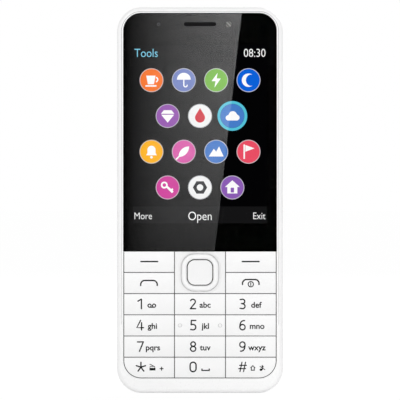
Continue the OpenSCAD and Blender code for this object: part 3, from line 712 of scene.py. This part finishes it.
def pill(wide, tall, width=FIGURE_STROKE):
    """Island of one closed stroke with straight sides and round ends."""
    def outline(reach):
        rise = tall - wide
        return arc(0, rise, wide + reach, 0, 180) + arc(0, -rise, wide + reach, 180, 360)
    return [outline(width / 2), outline(-width / 2)]


def hoop(x, z, wide, tall, width=FIGURE_STROKE):
    """Island of one closed oval stroke, half its width and height at the stroke's middle."""
    return [oval(x, z, wide + width / 2, tall + width / 2), oval(x, z, wide - width / 2, tall - width / 2)]


def bend(start, pull, end, steps=14):
    """Points on a curve that leaves its start and meets its end in the direction of a third point."""
    shares = [i / steps for i in range(steps + 1)]
    return [tuple((1 - t) ** 2 * a + 2 * t * (1 - t) * b + t * t * c for a, b, c in zip(start, pull, end))
            for t in shares]


def turned(island):
    """An island turned by half a turn."""
    return [[(-x, -z) for x, z in loop] for loop in island]


def make_figures():
    """Islands of the figures on the keys, each about its middle."""
    top = (DIGIT_HEIGHT - FIGURE_STROKE) / 2
    tail = bend((-0.84, 0.86 - top), (-0.84, top), (0.62, top - 0.06))
    six = [hoop(0, 0.86 - top, 0.84, 0.86), stroke(*tail)]
    return {
        "1": [stroke((0.5, -top), (0.5, top)), stroke((-0.62, top - 0.62), (0.42, top))],
        "2": [stroke(*arc(-0.02, top - 0.78, 0.78, 155, -32), (-0.83, -top)),
              stroke((-0.83, -top), (0.85, -top))],
        "3": [stroke((-0.78, top - 0.1), *arc(-0.02, top - 0.7, 0.7, 100, -90), (-0.34, top - 1.4)),
              stroke((-0.34, top - 1.4), *arc(0, 0.77 - top, 0.77, 90, -100), (-0.84, 0.12 - top))],
        "4": [stroke((0.12, top), (-1.06, -0.82), (1.06, -0.82)), stroke((0.46, 0.8), (0.46, -top))],
        "5": [stroke((-0.6, top), (0.8, top)), stroke((-0.6, top), (-0.68, 0.12)),
              stroke((-0.68, 0.12), *arc(-0.08, 0.88 - top, 0.88, 118, -100), (-0.84, 0.14 - top))],
        "6": six,
        "7": [stroke((-0.95, top), (0.92, top)), stroke((0.92, top), (-0.32, -top))],
        "8": [hoop(0, top - 0.7, 0.74, 0.7), hoop(0, 0.78 - top, 0.84, 0.78)],
        "9": [turned(island) for island in six],
        "0": [pill(0.95, top, 0.45)],
        "*": [stroke((0, -0.08), end, width=0.43) for end in arc(0, -0.08, top + 0.04, 90, 378, 4)],
        "#": [stroke(*ends, width=0.35) for ends in (
            ((-0.2, top), (-0.84, -top)), ((0.94, top), (0.3, -top)),
            ((-0.95, 0.5), (1.25, 0.5)), ((-1.25, -0.54), (0.95, -0.54)))],
    }


FIGURES = make_figures()


def dash():
    """Plain line, as on the soft keys."""
    half = 2.7
    return fill(stroke((-half, 0), (half, 0), width=LINE_WIDTH))


def reels():
    """Two rings joined by a line at their foot."""
    apart, radius = 0.72, 0.5
    foot = (-apart, -radius), (apart, -radius)
    hoops = [hoop(side * apart, 0, radius, radius, SMALL_STROKE) for side in (-1, 1)]
    return fill(*hoops, stroke(*foot, width=SMALL_STROKE))


def handset():
    """Bridge with round corners, as on the call keys."""
    half, rise, corner = 2.66, 1.6, 1.3
    path = [(-half, -rise / 2)] + arc(corner - half, rise / 2 - corner, corner, 180, 90, 10)
    path += arc(half - corner, rise / 2 - corner, corner, 90, 0, 10) + [(half, -rise / 2)]
    return fill([ribbon(path, LINE_WIDTH)])


def power_mark():
    return fill(hoop(0, 0, 0.84, 0.84, 0.32), stroke((0, -0.36), (0, 0.42), width=0.32))


def space_mark():
    """Flat bracket that is open at its top."""
    half, rise, width = 1.36, 0.8, 0.38
    return fill([[(-half, rise), (-half, 0), (half, 0), (half, rise), (half - width, rise),
                  (half - width, width), (width - half, width), (width - half, rise)]])


def plus_mark():
    half, width = 0.48, 0.32
    return fill(stroke((-half, 0), (half, 0), width=width), stroke((0, -half), (0, half), width=width))


def padlock():
    """Closed block below an open shackle."""
    shackle = [stroke((-0.8, 0.1), (-0.8, 0.46), (0.72, 0.46), (0.72, 0.1), width=0.22),
               stroke((-0.8, 1.12), (0.2, 0.7), width=0.26)]
    return fill([bar(-0.95, -0.84, 0.95, -0.02)], *shackle)


def shift_arrow():
    """Hollow arrow that points up."""
    def outline(grow):
        stem, head = 0.62 + grow, 0.92 + 1.5 * grow
        return [(-stem, -0.9 - grow), (stem, -0.9 - grow), (stem, -grow), (head, -grow),
                (0, 0.92 + 1.5 * grow), (-head, -grow), (-stem, -grow)]
    return fill([outline(0), outline(-0.31)])


def silent_note():
    """Crossed-out note."""
    head = disc(-0.42, -0.58, 0.42, 16)
    stem = ribbon([(0.02, -0.5), (0.02, 0.76)], SMALL_STROKE)
    tail = ribbon([(0.02, 0.7), (0.42, 0.3)], 0.26)
    slash = ribbon([(-0.72, 0.5), (0.86, -0.55)], 0.24)
    return fill([head], [stem], [tail], [slash])


def dot_shade_rings():
    """Grey rings of painted shade at the feet of the two feeling dots."""
    apart, radius, width = 6.45, 0.57, 0.17
    return fill(ring(-apart, 0, radius, width), ring(apart, 0, radius, width))


def letters(words, x):
    flat = lettering(words, LETTER_HEIGHT, "d", LETTER_BOLD, LETTER_STRETCH)
    return moved(flat, x, LETTER_RISE - DIGIT_HEIGHT / 2)


def figure(name, x):
    return moved(fill(*FIGURES[name]), x, 0)


# Letters of each key with the places of the digit and the letters across the key
KEY_LETTERS = {
    "2": ("abc", -2.26, 1.65), "3": ("def", -2.65, 1.8),
    "4": ("ghi", -2.9, 1.03), "5": ("jkl", -2.17, 1.66), "6": ("mno", -2.7, 2.02),
    "7": ("pqrs", -2.79, 1.24), "8": ("tuv", -2.21, 1.69), "9": ("wxyz", -2.72, 1.95),
}

# How far the marks stand above the middle of the keys, in the first two rows of figures and in the last row
UPPER_RISE = 0.09
LAST_RISE = 0.22


def print_keys():
    """Legends of all keys and the rings of painted shade at the feet of the feeling dots."""
    for digit, (words, first, second) in KEY_LETTERS.items():
        rise = UPPER_RISE if digit < "7" else 0
        print_on("key_" + digit, figure(digit, first), letters(words, second), rise=rise)
    print_on("key_1", figure("1", -2.98), moved(reels(), 0.86, -0.55), rise=UPPER_RISE)
    print_on("key_star", figure("*", -2.64), moved(padlock(), 1.07, -0.3),
             moved(plus_mark(), 4.0, -0.56), rise=LAST_RISE)
    print_on("key_0", figure("0", -2.22), moved(space_mark(), 1.8, -1.32), rise=LAST_RISE)
    print_on("key_hash", figure("#", -2.66), moved(shift_arrow(), 0.62, -0.32),
             moved(silent_note(), 3.65, -0.33), rise=LAST_RISE)
    # Grey rings of painted shade at the feet of the feeling dots, laid on like the legends
    dot_shade_grey = finish("dot_foot_shade", srgb(205, 205, 206), (0.5, 0.6), 0.1, 0.001)
    print_on("key_5", dot_shade_rings(), name="dot_foot_shade", paint=dot_shade_grey, slot="white_keys")
    print_on("left_soft_key", moved(dash(), 0.05, 0.1))
    print_on("right_soft_key", moved(dash(), -0.05, 0.1))
    print_on("call_key", moved(handset(), -0.05, 0.03))
    print_on("end_key", moved(handset(), -0.03, 0.34), moved(power_mark(), -0.03, -0.38))


print_keys()


# Lit picture: a plain dark ground, a band for the soft keys, round tiles and a few words

def drop():
    return [[(0, 0.66)] + arc(0, -0.14, 0.42, 150, 390, 20)]


def leaf():
    blade = arc(0.42, -0.42, 0.86, 88, 182, 14) + arc(-0.42, 0.42, 0.86, -92, 2, 14)
    return [blade], [ribbon([(-0.62, -0.62), (-0.3, -0.3)], 0.12)]


def moon():
    return [[*arc(0, 0, 0.56, 55, 305, 24), *arc(0.28, 0, 0.5, 255, 105, 20)]]


def bolt():
    return [[(0.12, 0.62), (-0.38, -0.08), (-0.05, -0.08), (-0.14, -0.62), (0.38, 0.14), (0.04, 0.14)]]


def pennant():
    return [bar(-0.42, -0.6, -0.3, 0.6)], [[(-0.26, 0.56), (0.5, 0.28), (-0.26, 0.0)]]


def umbrella():
    hook = [(0, 0.1)] + arc(0.14, -0.42, 0.14, 180, 360, 8)
    return [arc(0, 0.04, 0.58, 0, 180, 20)], [ribbon(hook, 0.1)]


def cup():
    handle = arc(0.34, 0.05, 0.24, -80, 80, 12) + arc(0.34, 0.05, 0.13, 80, -80, 12)
    bowl = [(-0.3, -0.34), (0.2, -0.34), (0.34, 0.38), (-0.44, 0.38)]
    return [bowl], [handle], [bar(-0.5, -0.54, 0.42, -0.42)]


def gem():
    crown = [(-0.56, 0.18), (0.56, 0.18), (0.32, 0.48), (-0.32, 0.48)]
    return [crown], [[(-0.54, 0.1), (0, -0.56), (0.54, 0.1)]]


def nut():
    return [disc(0, 0, 0.6, 6), disc(0, 0, 0.27, 24)]


def bell():
    side = [(-0.46, -0.3), (0.46, -0.3), (0.34, -0.12)]
    return [side + arc(0, 0.16, 0.34, 0, 180, 16) + [(-0.34, -0.12)]], [disc(0, -0.46, 0.11, 16)]


def hills():
    return [[(-0.62, -0.4), (0.62, -0.4), (0.24, 0.44), (0.0, 0.0), (-0.2, 0.24)]]


def door_key():
    blade = [(-0.12, 0.0), (0.36, -0.48), (0.5, -0.34), (0.4, -0.24), (0.48, -0.16), (0.38, -0.06),
             (0.3, -0.14), (-0.02, 0.14)]
    return ring(-0.28, 0.2, 0.22, 0.14), [blade]


def cloud():
    sides = arc(-0.34, -0.16, 0.22, 90, 270, 12) + arc(0.36, -0.14, 0.24, -90, 70, 12)
    return [sides + arc(0.04, 0.06, 0.34, 20, 165, 16)]


def house():
    walls = [(-0.42, 0.04), (-0.42, -0.5), (0.42, -0.5), (0.42, 0.04)]
    roof = [(0.62, 0.04), (0, 0.6), (-0.62, 0.04)]
    return [walls + roof, bar(-0.14, -0.42, 0.14, -0.02)]


WHITE = srgb(250, 250, 250)
TILES = [
    [(srgb(243, 116, 38), cup, WHITE), (srgb(116, 132, 192), umbrella, WHITE),
     (srgb(118, 182, 66), bolt, WHITE), (srgb(12, 96, 214), moon, WHITE)],
    [(srgb(146, 82, 172), gem, WHITE), (srgb(238, 238, 238), drop, srgb(206, 52, 66)),
     (srgb(70, 124, 198), cloud, WHITE)],
    [(srgb(250, 178, 24), bell, WHITE), (srgb(214, 92, 168), leaf, WHITE),
     (srgb(66, 120, 196), hills, WHITE), (srgb(232, 78, 100), pennant, WHITE)],
    [(srgb(204, 58, 152), door_key, WHITE), (srgb(238, 238, 238), nut, srgb(48, 48, 52)),
     (srgb(138, 92, 178), house, WHITE)],
]
CHOSEN = (1, 2)
CYAN = srgb(84, 192, 214)


def islands_of(drawing):
    """A drawing is one island, a list of loops, or a tuple of such islands."""
    return drawing if isinstance(drawing, tuple) else (drawing,)


def screen_sheet(name, flats, layer, colour):
    """One colour of the picture, some layers in front of the display."""
    shape = flat_mesh(flats, panel_lo.y - layer * LAYER * MM)
    add_piece("picture_" + name, shape, "housing", lit("lit_" + name, colour), LAYER / 2)


def draw_tiles():
    """Rows of round tiles set as in a honeycomb, one of them chosen."""
    rims = []
    for row, tiles in enumerate(TILES):
        z = TILE_TOP_ROW - row * TILE_ROW_PITCH
        for place, (colour, motif, paint) in enumerate(tiles):
            x = (place - (len(tiles) - 1) / 2) * TILE_PITCH
            name = "tile_%d_%d" % (row + 1, place + 1)
            screen_sheet(name, [fill([disc(x, z, TILE_RADIUS)])], TILE_LAYER, colour)
            drawing = moved(fill(*islands_of(motif())), x, z, TILE_RADIUS)
            screen_sheet(name + "_motif", [drawing], MOTIF_LAYER, paint)
            if (row, place) == CHOSEN:
                circle = fill(ring(x, z, TILE_RADIUS + CHOSEN_REACH, CHOSEN_WIDTH))
                screen_sheet("chosen_tile", [circle], RIM_LAYER, CYAN)
            else:
                rims.append(fill(ring(x, z, TILE_RADIUS - RIM_INSET, RIM_WIDTH)))
    screen_sheet("rims", rims, RIM_LAYER, srgb(196, 196, 200))


def draw_words():
    """Title and clock above the tiles and the soft keys' words below them."""
    edge = SCREEN_WIDTH / 2 - WORD_MARGIN

    def line(words, height, measure, side, foot):
        """Words at the left edge, in the middle or at the right edge, for a side of -1, 0 or 1."""
        points, triangles = lettering(words, height, measure, WORD_BOLD, WORD_STRETCH)
        half = max(x for x, _ in points)
        return moved((points, triangles), side * (edge - half), foot)

    title = line("Tools", TITLE_HEIGHT, "T", -1, TITLE_FOOT)
    screen_sheet("title", [title], TILE_LAYER, srgb(128, 206, 232))
    white_words = [line("08:30", TITLE_HEIGHT, "0", 1, TITLE_FOOT),
                   line("More", SIDE_WORD_HEIGHT, "M", -1, SIDE_WORD_FOOT),
                   line("Open", MIDDLE_WORD_HEIGHT, "O", 0, MIDDLE_WORD_FOOT),
                   line("Exit", SIDE_WORD_HEIGHT, "E", 1, SIDE_WORD_FOOT)]
    screen_sheet("words", white_words, TILE_LAYER, srgb(244, 244, 244))


def draw_picture():
    """All sheets of the picture."""
    half, top = SCREEN_WIDTH / 2, SCREEN_FOOT + SCREEN_HEIGHT
    band_top = SCREEN_FOOT + BAND_HEIGHT
    screen_sheet("ground", [fill([bar(-half, SCREEN_FOOT, half, top)])], GROUND_LAYER, srgb(3, 3, 4))
    screen_sheet("band", [fill([bar(-half, SCREEN_FOOT, half, band_top)])], BAND_LAYER, srgb(20, 20, 21))
    draw_tiles()
    draw_words()


draw_picture()


# Stage: camera, light, floor, and the cards that the window mirrors

def make_camera():
    """Camera straight in front of the phone."""
    data = bpy.data.cameras.new("camera")
    data.sensor_width = SENSOR_WIDTH
    data.lens = SENSOR_WIDTH * CAMERA_DISTANCE / VIEW_WIDTH
    camera = bpy.data.objects.new("camera", data)
    camera.location = (0, frame_lo.y - CAMERA_DISTANCE, view_height)
    camera.rotation_euler = (math.radians(90), 0, 0)
    scene.collection.objects.link(camera)
    scene.camera = camera


def seen_directly(tree):
    """1 where the camera, a reflection or a view through glass meets the surface."""
    path = node(tree, "LightPath").outputs
    both = combine(tree, path["Is Camera Ray"], path["Is Glossy Ray"], "MAXIMUM")
    return combine(tree, both, path["Is Transmission Ray"], "MAXIMUM")


def make_world():
    """Even white light, shown as plain white."""
    world = bpy.data.worlds.new("studio")
    scene.world = world
    world.use_nodes = True
    tree = world.node_tree
    levels = {0: seen_directly(tree), 1: 1 - AMBIENT, 2: AMBIENT}
    strength = node(tree, "Math", levels, operation="MULTIPLY_ADD").outputs[0]
    feed(tree, tree.nodes["Background"].inputs["Strength"], strength)
    tree.nodes["Background"].inputs["Color"].default_value = (1, 1, 1, 1)


def soft_box(name, place, power):
    """Soft square lamp that faces the phone's middle."""
    data = bpy.data.lights.new(name, "AREA")
    data.size = BOX_SIZE
    data.energy = power
    lamp = bpy.data.objects.new(name, data)
    lamp.location = place
    aim = Vector((0, 0, view_height)) - Vector(place)
    lamp.rotation_euler = aim.to_track_quat("-Z", "Y").to_euler()
    scene.collection.objects.link(lamp)


def stage_mesh(name, corners, faces, material):
    """Floor or card, which is no part of the phone."""
    mesh = bpy.data.meshes.new(name)
    mesh.from_pydata(corners, [], faces)
    mesh.materials.append(material)
    card = bpy.data.objects.new(name, mesh)
    scene.collection.objects.link(card)
    return card


def make_floor():
    """Pale floor that keeps a faint shadow and shows as white elsewhere."""
    material, tree, shader = blank("floor")
    tree.nodes.remove(shader)
    pale = node(tree, "BsdfDiffuse", {"Color": FLOOR_PALE})
    glow = node(tree, "Emission", {"Color": (1, 1, 1, 1), "Strength": FLOOR_LEVEL})
    share = combine(tree, seen_directly(tree), FLOOR_GLOW)
    mixed = node(tree, "MixShader", {0: share, 1: pale.outputs[0], 2: glow.outputs[0]})
    feed(tree, tree.nodes["Material Output"].inputs["Surface"], mixed.outputs[0])
    half = FLOOR_SIZE / 2
    corners = [(x, y, 0) for x, y in bar(-half, -half, half, half)]
    stage_mesh("floor", corners, [(0, 1, 2, 3)], material)


def only_mirrored(card):
    """Shows a card in reflections alone, also those that leave through the window, so it takes no light."""
    card.visible_camera = False
    card.visible_diffuse = False
    card.visible_shadow = False
    card.visible_volume_scatter = False


# Cards in metres: their distance, the black card's margin and the step between the two cards
CARD_DISTANCE = 0.3
CARD_STEP = 0.01
FLAG_MARGIN = 0.004

# Glare: its edge on the window, in millimetres from the middle, at the top and the foot, its brightness
# at the top, the share of it that is left at the foot, how its brightness bends across, and its steps
GLARE_TOP = 13.4
GLARE_FOOT = 4.75
GLARE_PEAK = 3.15
GLARE_REST = 0.2
GLARE_BEND = 1.15
GLARE_FOOT_BEND = 2
GLARE_STEPS = 24


def glowing(name, strength):
    """A material that glows and does nothing else, its strength a number or an attribute of the mesh."""
    material, tree, shader = blank(name)
    tree.nodes.remove(shader)
    if isinstance(strength, str):
        strength = node(tree, "Attribute", attribute_name=strength).outputs["Fac"]
    glow = node(tree, "Emission", {"Color": (1, 1, 1, 1), "Strength": strength})
    feed(tree, tree.nodes["Material Output"].inputs["Surface"], glow.outputs[0])
    return material


def card_point(x, z, distance):
    """Where the camera sees a point of the window mirrored on a card in front of it."""
    grow = 1 + distance / (CAMERA_DISTANCE + window_lo.y - frame_lo.y)
    return x * grow, window_lo.y - distance, view_height + (z - view_height) * grow


def make_glare():
    """Slanted bright card on the left, brighter at its top and its edge, before a black card."""
    corners, levels = [], []
    for i in range(GLARE_STEPS + 1):
        rise = i / GLARE_STEPS
        z = window_lo.z + (window_hi.z - window_lo.z) * rise
        edge = (GLARE_FOOT + (GLARE_TOP - GLARE_FOOT) * rise) * MM
        for j in range(GLARE_STEPS + 1):
            across = j / GLARE_STEPS
            corners.append(card_point(window_lo.x + (edge - window_lo.x) * across, z, CARD_DISTANCE))
            curve = GLARE_BEND + GLARE_FOOT_BEND * (1 - rise) ** 2
            level = GLARE_REST + (1 - GLARE_REST) * rise
            levels.append(GLARE_PEAK * level * (1 - (1 - across) ** curve))
    row = GLARE_STEPS + 1
    faces = [(i * row + j, i * row + j + 1, (i + 1) * row + j + 1, (i + 1) * row + j)
             for i in range(GLARE_STEPS) for j in range(GLARE_STEPS)]
    card = stage_mesh("glare", corners, faces, glowing("glare", "level"))
    card.data.attributes.new("level", "FLOAT", "POINT").data.foreach_set("value", levels)
    only_mirrored(card)


def make_flag():
    """Black card that keeps the rest of the window dark."""
    left, right = window_lo.x - FLAG_MARGIN, window_hi.x + FLAG_MARGIN
    foot, top = window_lo.z, window_hi.z + FLAG_MARGIN
    corners = [card_point(x, z, CARD_DISTANCE + CARD_STEP) for x, z in bar(left, foot, right, top)]
    only_mirrored(stage_mesh("flag", corners, [(0, 1, 2, 3)], glowing("flag", 0.0)))


make_camera()
make_world()
soft_box("front_box", FRONT_BOX_PLACE, FRONT_BOX_POWER)
soft_box("back_box", BACK_BOX_PLACE, BACK_BOX_POWER)
make_floor()
make_glare()
make_flag()
scene.view_settings.view_transform = "Standard"
